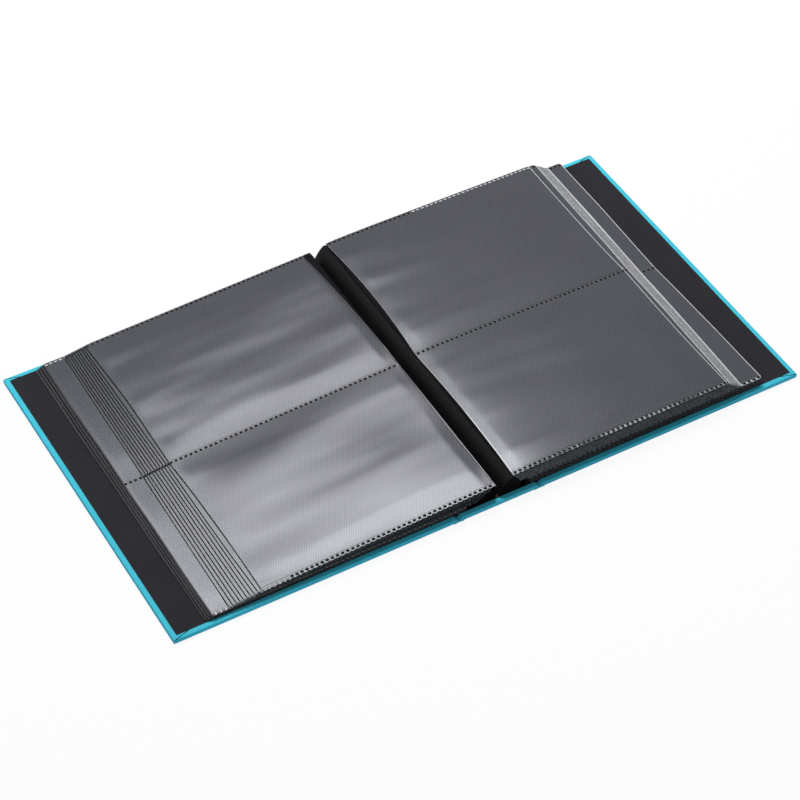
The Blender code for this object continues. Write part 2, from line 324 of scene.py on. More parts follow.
def mottle(tree, point, scale, detail=3, stretch=(1, 1, 1)):
    """Smooth noise around a half, scaled in features for each metre."""
    mapping = add_node(tree, "ShaderNodeMapping", {"Scale": stretch})
    tree.links.new(point, mapping.inputs["Vector"])
    cloud = add_node(tree, "ShaderNodeTexNoise", {"Scale": scale, "Detail": detail})
    tree.links.new(mapping.outputs["Vector"], cloud.inputs["Vector"])
    return cloud.outputs["Fac"]


def between(tree, factor, low, high, start=0.3, end=0.7):
    """A colour that runs from low to high as the factor goes from start to end."""
    ramp = add_node(tree, "ShaderNodeValToRGB")
    first, last = ramp.color_ramp.elements
    first.position, last.position = start, end
    first.color, last.color = (*low, 1), (*high, 1)
    tree.links.new(factor, ramp.inputs["Fac"])
    return ramp.outputs["Color"]


def spread(tree, factor, low, high):
    """A number that runs from low to high as the factor goes from 0 to 1."""
    node = add_node(tree, "ShaderNodeMapRange", {"To Min": low, "To Max": high})
    tree.links.new(factor, node.inputs["Value"])
    return node.outputs["Result"]


def colour_and_gloss(tree, shader, colour, roughness):
    """Link a colour and a roughness to the shader."""
    tree.links.new(colour, shader.inputs["Base Color"])
    tree.links.new(roughness, shader.inputs["Roughness"])


def raise_surface(tree, shader, height, strength, distance):
    """Fine relief; the distance is in millimetres."""
    bump = add_node(tree, "ShaderNodeBump", {"Strength": strength, "Distance": distance * MM})
    tree.links.new(height, bump.inputs["Height"])
    tree.links.new(bump.outputs["Normal"], shader.inputs["Normal"])


def emboss(tree, point, turn, across_axis, press):
    """Rows of dots pressed into film: how high each point is in its row, and in its dot."""
    turned = add_node(tree, "ShaderNodeMapping", {"Rotation": turn})
    tree.links.new(point, turned.inputs["Vector"])
    apart = add_node(tree, "ShaderNodeSeparateXYZ")
    tree.links.new(turned.outputs["Vector"], apart.inputs["Vector"])
    across = calculate(tree, "MULTIPLY", apart.outputs[across_axis], 2 * math.pi / (press[0] * MM))
    down = calculate(tree, "MULTIPLY", apart.outputs["Y"], 2 * math.pi / (press[1] * MM))
    shifted = calculate(tree, "MULTIPLY_ADD", across, 0.5, down)
    rows = calculate(tree, "MULTIPLY_ADD", calculate(tree, "SINE", across), 0.5, 0.5)
    dots = calculate(tree, "MULTIPLY_ADD", calculate(tree, "SINE", shifted), 0.5, 0.5)
    return rows, calculate(tree, "MULTIPLY", rows, dots)


def make_wrap_paper():
    """Turquoise printed paper with a satin coat, in clouds and fibres of slightly different tone."""
    material, tree, shader, point = new_finish("turquoise_wrap", Specular_IOR_Level=0.05)
    clouds = mottle(tree, point, 38, 4)
    fibres = mottle(tree, point, 900, 5, (1, 0.35, 1))
    mixed = weigh(tree, fibres, 0.45, clouds, 0.55)
    colour = between(tree, mixed, (0.060, 0.535, 0.675), (0.076, 0.588, 0.728), 0.35, 0.65)
    colour_and_gloss(tree, shader, colour, spread(tree, fibres, 0.50, 0.68))
    raise_surface(tree, shader, fibres, 0.25, 0.04)
    return material


def make_black_paper():
    """Matte black endpaper with short fibres."""
    material, tree, shader, point = new_finish("black_endpaper", Specular_IOR_Level=0.15)
    fibres = mottle(tree, point, 700, 6, (0.4, 1, 1))
    clouds = mottle(tree, point, 30, 3)
    mixed = weigh(tree, fibres, 0.7, clouds, 0.3)
    colour = between(tree, mixed, (0.013, 0.0125, 0.016), (0.021, 0.0205, 0.025), 0.35, 0.65)
    colour_and_gloss(tree, shader, colour, spread(tree, fibres, 0.75, 0.92))
    raise_surface(tree, shader, fibres, 0.3, 0.05)
    return material


def make_board_grey():
    """Raw grey board with flecks of pulp."""
    material, tree, shader, point = new_finish("grey_pulp_board", Specular_IOR_Level=0.2)
    flecks = mottle(tree, point, 600, 6)
    layers = mottle(tree, point, 120, 3, (1, 1, 14))
    mixed = weigh(tree, flecks, 0.6, layers, 0.4)
    colour = between(tree, mixed, (0.20, 0.185, 0.165), (0.40, 0.38, 0.345))
    colour_and_gloss(tree, shader, colour, spread(tree, flecks, 0.82, 0.97))
    raise_surface(tree, shader, mixed, 0.5, 0.1)
    return material


def make_insert_black():
    """Black embossed film of the binding folds."""
    material, tree, shader, point = new_finish("black_embossed_film", Specular_IOR_Level=0.09)
    rows, dots = emboss(tree, point, (math.radians(25), 0, 0), "Z", FOLD_PRESS)
    colour = between(tree, dots, (0.0012, 0.0012, 0.0015), (0.060, 0.058, 0.053), 0.55, 1.0)
    colour_and_gloss(tree, shader, colour, spread(tree, rows, 0.5, 0.4))
    raise_surface(tree, shader, dots, 0.6, 0.12)
    return material


def make_pocket_film():
    """Film over the black insert: grey, glossy and streaked by its pressed rows."""
    material, tree, shader, point = new_finish(
        "embossed_pocket_film", Specular_IOR_Level=0.55, Specular_Tint=(0.92, 0.935, 1.0, 1))
    rows, dots = emboss(tree, point, (0, 0, math.radians(29.4)), "X", PAGE_PRESS)
    clouds = mottle(tree, point, 22, 3)
    mixed = calculate(tree, "MULTIPLY_ADD", clouds, 0.3, weigh(tree, dots, 0.2, rows, 0.5))
    colour = between(tree, mixed, (0.016, 0.017, 0.022), (0.055, 0.057, 0.070), 0.1, 0.9)
    colour_and_gloss(tree, shader, colour, spread(tree, mixed, 0.20, 0.15))
    return material


def make_film_edge(name, dark, light, shine=0.5, dull=0.3):
    """Cut, folded or pressed edge of the film, nicked along its length."""
    material, tree, shader, point = new_finish(name, Specular_IOR_Level=shine)
    nicks = mottle(tree, point, 900, 3)
    colour = between(tree, nicks, dark, light)
    colour_and_gloss(tree, shader, colour, spread(tree, nicks, dull, dull + 0.2))
    raise_surface(tree, shader, nicks, 0.2, 0.04)
    return material


wrap_paper = make_wrap_paper()
# Dark teal on the fold line of a corner: painted shade in the shallow crease
crease_painted_shade = make_film_edge("corner_crease_painted_shade", (0.004, 0.05, 0.075), (0.012, 0.10, 0.14), 0.1, 0.6)
black_paper = make_black_paper()
board_grey = make_board_grey()
insert_black = make_insert_black()
pocket_film = make_pocket_film()
# Light film edge: painted highlight on the right fore-edges, the tail pocket mouths, the tail ticks of a
# group's top leaf and the middles of the pierced welds
highlight_edge = make_film_edge("film_edge_painted_highlight", (0.42, 0.42, 0.44), (0.66, 0.66, 0.69))
# Ribbed fore-edges of the right stack: ribbed film edges, painted mid grey as the light they catch
ribbed_edge_and_highlight = make_film_edge("ribbed_film_edge_and_painted_highlight", (0.12, 0.12, 0.13), (0.42, 0.42, 0.44))
# Near-black edge of the left fore-edges and left pocket mouths: the dark film edge with painted shade of
# the gaps between leaves
dark_edge_and_shade = make_film_edge("dark_film_edge_and_painted_shade", (0.004, 0.004, 0.005), (0.014, 0.014, 0.015), 0.05, 0.7)
margin_film = make_film_edge("toothed_film_margin", (0.17, 0.17, 0.175), (0.37, 0.37, 0.385))
# Sides of the stacked leaves: their own dark film with painted shade
stack_side_and_shade = make_film_edge("stacked_film_side_and_painted_shade", (0.018, 0.018, 0.019), (0.060, 0.060, 0.064), 0.2, 0.5)
# Tail side of the stacks: the same stacked film painted lighter than the fore-edges, as painted light on
# the side that faces the front
stack_tail_painted_light = make_film_edge("stacked_film_tail_painted_light", (0.07, 0.07, 0.072), (0.25, 0.25, 0.255), 0.2, 0.5)
weld_dark = make_film_edge("pressed_weld", (0.003, 0.003, 0.004), (0.010, 0.010, 0.011), 0.05, 0.7)
# Weld rims: raised film round each pressed dash, painted light grey as its highlight
weld_rim_painted_highlight = make_film_edge("weld_rim_painted_highlight", (0.10, 0.10, 0.11), (0.24, 0.24, 0.26))
# Of the edge finishes, the light, ribbed and weld rim ones carry painted highlights, the dark edge and the
# stacked side painted shade, and the stacked tail painted light
LEAF_FINISHES = [pocket_film, highlight_edge, ribbed_edge_and_highlight, dark_edge_and_shade, margin_film, stack_side_and_shade,
                 weld_dark, weld_rim_painted_highlight, stack_tail_painted_light]
PAGE, BRIGHT, RIBBED, DULL, MARGIN, SIDE, DARK, RIM, TAIL = range(len(LEAF_FINISHES))


# Numbers and nets

def clamp(value):
    """The nearest number from 0 to 1."""
    return min(max(value, 0.0), 1.0)


def ease(value):
    """Smooth step from 0 to 1."""
    value = clamp(value)
    return value * value * (3 - 2 * value)


def mix(low, high, share):
    """The number at a share of the way from low to high."""
    return low + (high - low) * share


def steps(start, end, size):
    """Evenly spaced values from start to end, about size apart."""
    count = max(1, round((end - start) / size))
    return [start + (end - start) * index / count for index in range(count + 1)]


def mirrored(half):
    """Rows on both sides of the middle, from those on one side."""
    return [-y for y in half[:0:-1]] + half


def new_points(grown):
    """The points that an extrusion has added."""
    return [item for item in grown["geom"] if isinstance(item, bmesh.types.BMVert)]


def net_sheet(columns, rows, place, thickness, finish_at=None):
    """A closed thin sheet over a net; place puts each net point, finish_at picks a face's finish."""
    sheet = bmesh.new()
    wide, tall = len(columns) - 1, len(rows) - 1
    bmesh.ops.create_grid(sheet, x_segments=wide, y_segments=tall, size=0.5)
    if finish_at:
        for face in sheet.faces:
            middle = face.calc_center_median()
            column = int((middle.x + 0.5) * wide)
            row = int((middle.y + 0.5) * tall)
            face.material_index = finish_at(column, row)
    for vert in sheet.verts:
        column = round((vert.co.x + 0.5) * wide)
        row = round((vert.co.y + 0.5) * tall)
        vert.co = place(columns[column], rows[row])
    grown = bmesh.ops.extrude_face_region(sheet, geom=sheet.faces[:])
    bmesh.ops.translate(sheet, vec=(0, 0, thickness), verts=new_points(grown))
    return sheet


def join_shape(whole, part):
    """Add one shape to another."""
    holder = bpy.data.meshes.new("holder")
    part.to_mesh(holder)
    part.free()
    whole.from_mesh(holder)
    bpy.data.meshes.remove(holder)


def finish_piece(name, shape, finishes, sharp=LEAF_SHARP):
    """Turn a shape in millimetres into a piece at the origin, in metres."""
    bmesh.ops.recalc_face_normals(shape, faces=shape.faces)
    bmesh.ops.scale(shape, vec=(MM, MM, MM), verts=shape.verts)
    mesh = bpy.data.meshes.new(name)
    shape.to_mesh(mesh)
    shape.free()
    for finish in finishes:
        mesh.materials.append(finish)
    mesh.shade_smooth()
    mesh.set_sharp_from_angle(angle=math.radians(sharp))
    piece = bpy.data.objects.new(name, mesh)
    bpy.context.scene.collection.objects.link(piece)
    return piece


# Leaves

class Leaf:
    """Place of one leaf: its hinge, its direction out to the fore-edge and its upper side."""

    def __init__(self, name):
        low, high = (Vector(corner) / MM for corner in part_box(name))
        hinge = Vector(JOINTS[name]["pos_m"]) / MM
        self.name = name
        self.number = int(name[-2:])
        self.side = -1 if name.startswith("left") else 1
        self.hinge = Vector((hinge.x, 0, hinge.z))
        edge = Vector((low.x if self.side < 0 else high.x, 0, low.z + LEAF_THICKNESS / 2))
        self.along = (edge - self.hinge).normalized()
        self.up = Vector((-self.along.z, 0, self.along.x)) * self.side
        self.length = (edge - self.hinge).length

    def matrix(self):
        """From a flat leaf at the origin to its place in the album."""
        along, up, hinge = self.along, self.up, self.hinge
        return Matrix(((along.x, 0, up.x, hinge.x), (0, 1, 0, 0),
                       (along.z, 0, up.z, hinge.z), (0, 0, 0, 1)))


def head_share(y):
    """0 at the tail of the album and 1 at its head."""
    return (y + PAGE_HALF) / (2 * PAGE_HALF)


def pocket_share(y):
    """0 on the welded seams and 1 in the middle of a pocket."""
    return abs(math.sin(math.pi * min(abs(y), PAGE_HALF) / PAGE_HALF))


def edge_drift(leaf, y):
    """How far a fore-edge lies out from the flat model's, with a pinch at the seams."""
    for first, last, first_ends, last_ends in EDGE_DRIFT[leaf.side]:
        if first <= leaf.number <= last:
            share = (leaf.number - first) / max(last - first, 1)
            tail = mix(first_ends[0], last_ends[0], share)
            head = mix(first_ends[1], last_ends[1], share)
            break
    drift = mix(tail, head, head_share(y))
    wobble = noise.noise(Vector((y / WOBBLE_LENGTH, leaf.number * WOBBLE_SEED, leaf.side))) * EDGE_WOBBLE
    belly = FIRST_BELLY if leaf.number == 1 else BELLY
    drawn_in = 0.0
    if leaf.side > 0 and leaf.number >= LOWER_RIGHT:
        drawn_in = PINCH * (1 - abs(y) / PAGE_HALF)
    return drift + wobble + belly * pocket_share(y) - drawn_in


def page_wave(leaf, u, y):
    """How far a facing page stands up from flat."""
    depth = math.sin(math.pi * clamp(u / leaf.length))
    pocket = pocket_share(y)
    seed = leaf.side * WAVE_SEED
    broad = noise.noise(Vector((u / ROLLING_LENGTH[0], y / ROLLING_LENGTH[1], seed)))
    narrow = noise.noise(Vector((u / RIPPLE_LENGTH[0] + y / RIPPLE_SLANT, y / RIPPLE_LENGTH[1], seed + 3)))
    near_seam = math.exp(-(min(abs(y), PAGE_HALF - abs(y)) / SEAM_REACH) ** 2)
    rolling = LOOSE_ROLLING if leaf.side < 0 and y < 0 else ROLLING
    wave = POCKET_CROWN * pocket * depth + rolling * broad * mix(ROLLING_AT_SEAMS, 1, pocket)
    wave += RIPPLE * narrow * mix(*RIPPLE_RANGE, near_seam)
    ends = ease(u / CALM_ENDS) * ease((leaf.length - u) / CALM_ENDS)
    off_seams = mix(CALM_SEAMS, 1, min(1, pocket * SEAM_STEEPNESS))
    return (PAGE_LIFT + wave) * ends * off_seams + gutter_roll(leaf, u)


def gutter_roll(leaf, u):
    """The top right leaf rolls down towards the gutter over its inner part."""
    if leaf.side < 0:
        return 0.0
    raised = 1 - math.exp(-max(u, 0) / ROLL_LENGTH)
    return ROLL_HEIGHT * raised * (1 - clamp(u / leaf.length)) ** ROLL_FADE


def film_slack(leaf, u, y):
    """How far a pocket bows out between its seams, less along some of their length."""
    into = abs(y) - SEAM_HALF
    left = PAGE_HALF - END_SEAM - abs(y)
    between_seams = ease(into / (HEAD_BOW_RISE if y > 0 else TAIL_BOW_RISE)) * ease(left / BOW_FALL)
    if leaf.number > 1:
        return STACK_BOW * between_seams * ease((leaf.length - STACK_FILM_END - u) / STACK_BOW_FADE)
    variation = noise.noise(Vector((u / LOOSE_LENGTH, 2.5 * math.copysign(1, y), leaf.side * 4.1)))
    loose = LOOSENESS[0] + LOOSENESS[1] * variation
    return PAGE_BOW * between_seams * loose * ease((leaf.length - FILM_END - u) / PAGE_BOW_FADE)


def inner_margin(leaf, y):
    """Bare black strip between the hinge of a facing leaf and the page, as its edge curves back."""
    if leaf.number > 1:
        return 0.0
    if leaf.side < 0:
        return LEFT_STRIP * max(0, y / PAGE_HALF) ** 2
    return pocket_share(y) * (RIGHT_HEAD_STRIP if y > 0 else RIGHT_TAIL_STRIP)


def tooth(u):
    """1 on a tooth of the welded edge and 0 in the gap between two."""
    return ease(0.5 + TOOTH_STEEPNESS * math.sin(2 * math.pi * u / TOOTH_PITCH))


def round_corner(u, y, length):
    """Bring the outer corners of a leaf onto a quarter circle."""
    out_u = u - (length - LEAF_CORNER)
    out_y = abs(y) - (PAGE_HALF - LEAF_CORNER)
    if out_u <= 0 or out_y <= 0:
        return u, y
    scale = max(out_u, out_y) / math.hypot(out_u, out_y)
    u = length - LEAF_CORNER + out_u * scale
    return u, math.copysign(PAGE_HALF - LEAF_CORNER + out_y * scale, y)


def edge_line(leaf):
    """Width of the folded film along the fore-edge of a leaf."""
    if leaf.side < 0:
        return UPPER_LEFT_LINE if leaf.number < LOWER_LEFT else LOWER_LEFT_LINE
    return BRIGHT_LINE if leaf.number in BRIGHT_EDGES else RIBBED_LINE


def edge_finish(leaf):
    """The fore-edges of the left leaves lie in shadow and are painted as shade; those of the right ones
    catch the light and are painted as a highlight.
    """
    if leaf.side < 0:
        return DULL if leaf.number < LOWER_LEFT or leaf.number % 3 == 0 else SIDE
    return BRIGHT if leaf.number in BRIGHT_EDGES else RIBBED


def leaf_columns(leaf):
    """Net columns from the hinge to the fore-edge, close enough for the teeth."""
    outer = leaf.length - edge_line(leaf)
    return [0.0] + steps(INNER_STRIP, outer, TOOTH_PITCH / COLUMNS_PER_TOOTH) + [leaf.length]


def leaf_rows(facing, shown):
    """Net rows from tail to head with the toothed margins and the seams, closest on a page that shows."""
    spacing = SHOWN_ROW if shown else HIDDEN_ROW
    if facing:
        spacing = FACING_ROW
    half = [0.0, SEAM_HALF, SEAM_HALF + SEAM_SHOULDER]
    half += steps(SEAM_HALF + SEAM_SHOULDER, PAGE_HALF - END_SEAM - SEAM_SHOULDER, spacing)[1:]
    half += [PAGE_HALF - END_SEAM, PAGE_HALF - TOOTH_ROW, PAGE_HALF]
    return mirrored(half)


def fore_edge_curl(leaf, u):
    """The top leaf of the lowest left group rounds down a little at its fore-edge."""
    if leaf.side > 0 or leaf.number != LOWER_LEFT:
        return 0.0
    out = clamp((u - (leaf.length - CURL_START)) / CURL_LENGTH)
    return -CURL_DROP * out ** 2


def make_leaf(name):
    """The sheet of one leaf with its toothed edges and welds. Returns the leaf's place."""
    leaf = Leaf(name)
    facing = leaf.number == 1
    shown = leaf.number in PAGES_SHOWN[leaf.side]
    rows = leaf_rows(facing, shown)
    columns = leaf_columns(leaf)
    last_column = len(columns) - 2

    def place(u, y):
        """A point of the sheet's under side."""
        flat_u, flat_y = round_corner(u, y, leaf.length)
        share = flat_u / leaf.length
        at_u = flat_u + edge_drift(leaf, flat_y) * share ** EDGE_POWER
        at_u += inner_margin(leaf, flat_y) * ease(flat_u / INNER_STRIP) * (1 - share) ** EDGE_POWER
        if abs(flat_y) > PAGE_HALF - NEAR:
            depth = TOOTH_DEPTH if flat_y < 0 else TOOTH_DEPTH * HEAD_TEETH
            gap = 1 - tooth(at_u + leaf.number * TOOTH_SHIFT)
            flat_y -= math.copysign(depth * gap, flat_y)
        height = -LEAF_THICKNESS / 2 + fore_edge_curl(leaf, at_u)
        if facing:
            height += page_wave(leaf, at_u, flat_y) + film_slack(leaf, at_u, flat_y)
        elif shown:
            height += film_slack(leaf, at_u, flat_y)
        return at_u, flat_y, height

    def finish_at(column, row):
        """Finish of one face of the net."""
        if column == last_column:
            return edge_finish(leaf)
        if column == 0 and inner_margin(leaf, rows[row]) > STRIP_SHOWN:
            return DARK
        if row == 0:
            return tail_finish(leaf, (columns[column] + columns[column + 1]) / 2)
        return PAGE

    shape = net_sheet(columns, rows, place, SHEET, finish_at)
    if shown or leaf.side < 0 and leaf.number < LOWER_LEFT:
        add_dashes(shape, leaf, place, 1)
    if name == "right_leaf_01":
        add_dashes(shape, leaf, place, -1)
    shape.transform(leaf.matrix())
    piece = finish_piece(f"{name}_sheet", shape, LEAF_FINISHES)
    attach(piece, name)
    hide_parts(name)
    return leaf


def tail_finish(leaf, u):
    """Finish along the tail of a leaf: ticks of lighter film between gaps, with the tail side painted
    lighter than the fore-edges as painted light, and a painted highlight on the ticks of the top leaf of a
    group.
    """
    on_top = leaf.number in GROUP_TOPS[leaf.side]
    shift = 0 if on_top else TICK_SHIFTS[leaf.number % len(TICK_SHIFTS)] / 4
    tick = abs(((leaf.length - DASH_START - u) / TOOTH_PITCH + shift) % 1 - 0.5) < TICK_HALF
    if leaf.number == 1:
        worn = noise.noise(Vector((u / WORN_LENGTH, leaf.side * 2.7, 1.3))) < WORN_BELOW
        return PAGE if worn or not tick else MARGIN
    if on_top:
        # the top leaf's ticks carry the painted highlight, its gaps the painted light of the stacked tail
        return BRIGHT if tick else TAIL
    if leaf.side > 0 and 2 < leaf.number <= LEANING_FOLDS:
        light = MARGIN if leaf.number % 4 == 3 else RIM
        return light if tick else TAIL
    return TAIL if tick else SIDE


def add_dashes(shape, leaf, place, up):
    """Pressed weld dashes along head, middle and tail, as far in from the fore-edge as they show."""
    whole_page = leaf.number == 1 or leaf.side > 0 and leaf.number == 2
    row_length = leaf.length - DASH_END if whole_page else EDGE_DASHES
    surface = SHEET if up > 0 else 0.0
    dashes = bmesh.new()
    for seam_y in (DASH_INSET - PAGE_HALF, 0.0, PAGE_HALF - DASH_INSET):
        at_tail = seam_y < -SEAM_HALF
        at_head = seam_y > SEAM_HALF
        for index in range(int(row_length / TOOTH_PITCH) + 1):
            u, y, height = place(leaf.length - DASH_START - index * TOOTH_PITCH, seam_y)
            spot = (u, y, height + surface)
            # pierced welds at the head get a painted highlight in the middle, so that they show white
            if up > 0 and at_head and u > pierced_from(leaf):
                add_dash(dashes, spot, up, SLOT_WIDTH, RIM, BRIGHT)
                continue
            # rims along the tail and on the outer part of the left leaves are painted lighter, and so are
            # the outer left tail middles: a painted highlight where the page catches the light
            in_light = at_tail or leaf.side < 0 and u > leaf.length * LIGHT_FROM
            faint = at_tail and leaf.side < 0 and u > leaf.length * MIDDLE_HIGHLIGHT_FROM
            add_dash(dashes, spot, up, DASH_WIDTH, MARGIN if in_light else RIM, RIM if faint else DARK)
    join_shape(shape, dashes)


def pierced_from(leaf):
    """Where the welds along the head of a leaf begin to be pierced, so that they show white."""
    if leaf.side > 0 and leaf.number == 1:
        return leaf.length * PIERCED_FROM
    return 0 if leaf.side < 0 and leaf.number == LOWER_LEFT else math.inf


def add_dash(dashes, place, up, width, rim, middle):
    """One oval weld on the upper (1) or under side (-1) of a leaf: a raised rim round a pressed middle."""
    spot = Matrix.Translation(Vector(place) - Vector((0, 0, DASH_ROOT * up)))
    turn = Matrix.Rotation(0 if up > 0 else math.pi, 4, "X")
    oval = Matrix.Diagonal((DASH_LENGTH / 2, width / 2, 1, 1))
    ring = bmesh.ops.create_circle(dashes, cap_ends=True, segments=DASH_CORNERS, radius=1,
                                   matrix=spot @ turn @ oval)
    floor = ring["verts"][0].link_faces[0]
    floor.material_index = rim
    grown = bmesh.ops.extrude_face_region(dashes, geom=[floor])
    bmesh.ops.translate(dashes, vec=(0, 0, DASH_HEIGHT * up), verts=new_points(grown))
    top = [item for item in grown["geom"] if isinstance(item, bmesh.types.BMFace)][0]
    bmesh.ops.inset_individual(dashes, faces=[top], thickness=DASH_RIM, depth=-DASH_PRESS)
    top.material_index = middle


def mouth_start(leaf, y):
    """Inner edge of a pocket film, hollowed between the seams."""
    start, hollow = MOUTH_PLACE[leaf.side]
    return start + hollow * pocket_share(y) + inner_margin(leaf, y)


def mouth_finish(leaf, weld_y):
    """The folded edge at the mouth of a pocket: painted shade on the left, and on the right a painted
    highlight that is lighter towards the tail.
    """
    if leaf.side < 0:
        return dark_edge_and_shade
    if weld_y > 0:
        return weld_rim_painted_highlight
    return highlight_edge if weld_y < -SEAM_HALF else ribbed_edge_and_highlight


def make_half_film(name, leaf, weld_y, middle_y, part):
    """Half the film of a pocket, from its weld on the leaf to the middle, which bows out."""
    columns = [0.0, MOUTH_SHARE] + steps(FILM_COLUMNS_START, 1, 1 / FILM_COLUMNS)
    toward = math.copysign(1, middle_y - weld_y)
    reach = abs(middle_y - weld_y)
    away = [0, WELD_ROW] + steps(FILM_ROW, reach - MIDDLE_ROW, FILM_ROW)
    rows = sorted([weld_y + toward * step for step in away] + [middle_y])

    def place(share, y):
        """A point of the film's under side, at a share of its depth from the mouth."""
        start = mouth_start(leaf, y)
        end = leaf.length - FILM_END + edge_drift(leaf, y)
        u = mix(start, end, share)
        if share == MOUTH_SHARE and leaf.side > 0:
            u = start + MOUTH_EDGE + MOUTH_WIDENING * (1 - head_share(y)) ** 2
        height = SHEET_TOP + page_wave(leaf, u, y) + film_slack(leaf, u, y)
        return u, y, height + FILM_SEAT + FILM_LIFT * ease((end - u) / FILM_LIFT_LENGTH)

    shape = net_sheet(columns, rows, place, FILM_THICKNESS, lambda column, row: 1 if column == 0 else 0)
    shape.transform(leaf.matrix())
    finishes = [pocket_film, mouth_finish(leaf, weld_y)]
    piece = finish_piece(f"{name}_{part}_half", shape, finishes)
    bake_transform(piece)
    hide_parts(name)


def make_leaves():
    """All leaves, and the films of the two that face each other. Returns the places of the leaves."""
    leaves = {}
    for side, count in LEAF_COUNTS:
        for number in range(1, count + 1):
            name = f"{side}_leaf_{number:02d}"
            leaves[name] = make_leaf(name)
        leaf = leaves[f"{side}_leaf_01"]
        outer = PAGE_HALF - END_SEAM
        middle = (SEAM_HALF + outer) / 2
        for end, toward in (("head", 1), ("tail", -1)):
            film = f"{side}_{end}_pocket_film"
            make_half_film(film, leaf, SEAM_HALF * toward, middle * toward, "inner")
            make_half_film(film, leaf, outer * toward, middle * toward, "outer")
    return leaves


# Binding strip

def bezier(points, share):
    """A point on a cubic curve."""
    a, b, c, d = points
    rest = 1 - share
    return a * rest ** 3 + b * 3 * rest ** 2 * share + c * 3 * rest * share ** 2 + d * share ** 3


def fold_curve(leaf):
    """Side view of a binding fold, from its foot on the spine up to the hinge of its leaf."""
    rise = leaf.hinge.z - BINDING_FLOOR
    lean = 0.0
    if leaf.side > 0 and leaf.number <= LEANING_FOLDS:
        lean = FOLD_LEAN * (LEANING_FOLDS + 1 - leaf.number) / LEANING_FOLDS
    over = min(FOLD_OVER, rise * FOLD_OVER_SHARE)
    turning = leaf.side > 0 and leaf.number <= TURNING_LEAVES
    short, below = TURNING_GAP if turning else FOLD_GAP
    foot = Vector((leaf.hinge.x - lean * rise, 0, BINDING_FLOOR))
    end = leaf.hinge - leaf.along * short - leaf.up * below
    lower = foot + Vector((lean * rise * FOLD_LOWER[0], 0, rise * FOLD_LOWER[1]))
    upper = end - leaf.along * over * FOLD_UPPER[0] - leaf.up * over * FOLD_UPPER[1]
    return [bezier((foot, lower, upper, end), index / FOLD_STEPS) for index in range(FOLD_STEPS + 1)]


def make_folds(leaves):
    """The concertina on the spine: its base and one curved fold for each leaf."""
    base = net_sheet(steps(-SPINE_EDGE, SPINE_EDGE, BASE_COLUMN), steps(-PAGE_HALF, PAGE_HALF, BASE_ROW),
                     lambda x, y: (x, y, BINDING_FLOOR - FOLD_BASE), FOLD_BASE)
    for leaf in leaves.values():
        fold = bmesh.new()
        line = [fold.verts.new(point - Vector((0, PAGE_HALF, 0))) for point in fold_curve(leaf)]
        edges = [fold.edges.new(pair) for pair in zip(line, line[1:])]
        grown = bmesh.ops.extrude_edge_only(fold, edges=edges)
        bmesh.ops.translate(fold, vec=(0, 2 * PAGE_HALF, 0), verts=new_points(grown))
        bmesh.ops.solidify(fold, geom=fold.faces[:], thickness=FOLD_FILM)
        join_shape(base, fold)
    piece = finish_piece("binding_folds", base, [insert_black])
    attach(piece, "spine")
    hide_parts("binding_strip")


# Case

def slab(low, high):
    """A plain block that the next steps cut and round."""
    block = bmesh.new()
    bmesh.ops.create_cube(block, size=1)
    size = Vector(high) - Vector(low)
    bmesh.ops.scale(block, vec=size, verts=block.verts)
    bmesh.ops.translate(block, vec=(Vector(high) + Vector(low)) / 2, verts=block.verts)
    return block


def cut_across(block, point, normal):
    """Cut the faces of a block along a plane."""
    geometry = block.verts[:] + block.edges[:] + block.faces[:]
    bmesh.ops.bisect_plane(block, geom=geometry, dist=CUT_DISTANCE, plane_co=point, plane_no=normal)


def runs_across(edge):
    """Whether an edge runs from the spine towards a fore-edge."""
    return abs(edge.verts[0].co.x - edge.verts[1].co.x) > 1


def round_edges(block, edges):
    """Round some edges of a block, as paper folds over a board."""
    bmesh.ops.bevel(block, geom=edges, offset=EDGE_ROUNDING, segments=ROUNDING_STEPS, profile=0.5,
                    affect="EDGES", material=-1)


def thicken_wrap(block):
    """Give the faces that are left the thickness of the wrap paper."""
    bmesh.ops.recalc_face_normals(block, faces=block.faces)
    bmesh.ops.solidify(block, geom=block.faces[:], thickness=WRAP)


def mitre_plane(end):
    """The upright plane of a corner's fold line at the tail (-1) or the head (1)."""
    corner = Vector((COVER_REACH, end * HALF_HEIGHT, 0))
    return corner, Vector((math.sin(MITRE_SLOPE), -end * math.cos(MITRE_SLOPE), 0))


def on_crease(middle):
    """Whether the middle of a face lies between the two cuts beside a corner's fold line."""
    corner, normal = mitre_plane(math.copysign(1, middle.y))
    aside = abs((middle - corner).dot(normal))
    return aside < CREASE_HALF * CREASE_MATCH and middle.x > COVER_REACH - TURN_IN - CREASE_REACH


